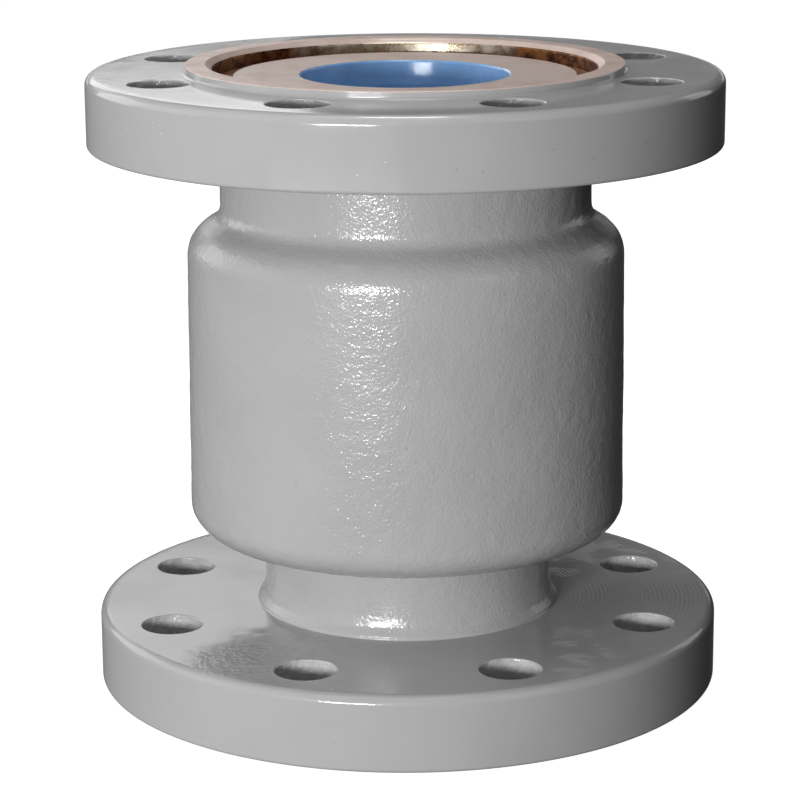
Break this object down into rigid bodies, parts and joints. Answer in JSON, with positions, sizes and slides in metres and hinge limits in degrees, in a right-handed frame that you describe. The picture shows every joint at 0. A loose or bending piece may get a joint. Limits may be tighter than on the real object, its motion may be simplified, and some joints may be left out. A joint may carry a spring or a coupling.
{
  "type": "flanged silent check valve",
  "caption": "Spring-loaded axial lift check valve with a round cast body and a bolted flange at each end, standing inlet up, with seat ring, guided disc, stem and spring inside.",
  "frame": {"origin": "centre of the underside, which is the outlet flange's raised face", "axes": "+Z along the pipe axis from outlet to inlet; bolt holes straddle +X and +Y"},
  "size_m": [0.235, 0.235, 0.236],
  "materials": {
    "cast_paint": "glossy light grey enamel over rough casting",
    "seat_bronze": "turned bronze, dull pinkish",
    "bush_bronze": "smooth turned bronze",
    "rubber": "matt black rubber",
    "stainless": "turned stainless steel",
    "polished_steel": "ground and polished",
    "spring_steel": "drawn wire",
    "screw_steel": "plain stainless screws",
    "guide_paint": "blue epoxy on casting"
  },
  "bodies": {
    "valve_body": {"outlet_flange": "cast_paint", "barrel": "cast_paint", "inlet_flange": "cast_paint", "seat_ring": "seat_bronze", "seat_o_ring": "rubber", "seat_screw_1": "screw_steel", "seat_screw_2": "screw_steel", "seat_screw_3": "screw_steel", "upper_guide_bush": "bush_bronze", "spring": "spring_steel", "spring_plate": "stainless", "lower_guide": "guide_paint", "lower_guide_bush": "bush_bronze", "guide_screw_1": "screw_steel", "guide_screw_2": "screw_steel", "guide_screw_3": "screw_steel", "guide_screw_4": "screw_steel"},
    "disc_assembly": {"disc": "stainless", "disc_seal": "rubber", "seal_retainer": "stainless", "retainer_screw_1": "screw_steel", "retainer_screw_2": "screw_steel", "retainer_screw_3": "screw_steel", "retainer_screw_4": "screw_steel", "stem": "polished_steel", "stem_washer": "stainless", "stem_nut": "stainless"}
  },
  "joints": [
    {"name": "disc_lift", "type": "slide", "parent": "valve_body", "child": "disc_assembly", "axis": [0, 0, -1], "range_m": [0, 0.02], "stiffness_N_per_m": 1900, "springref_m": -0.02, "deforming": ["spring"]}
  ]
}
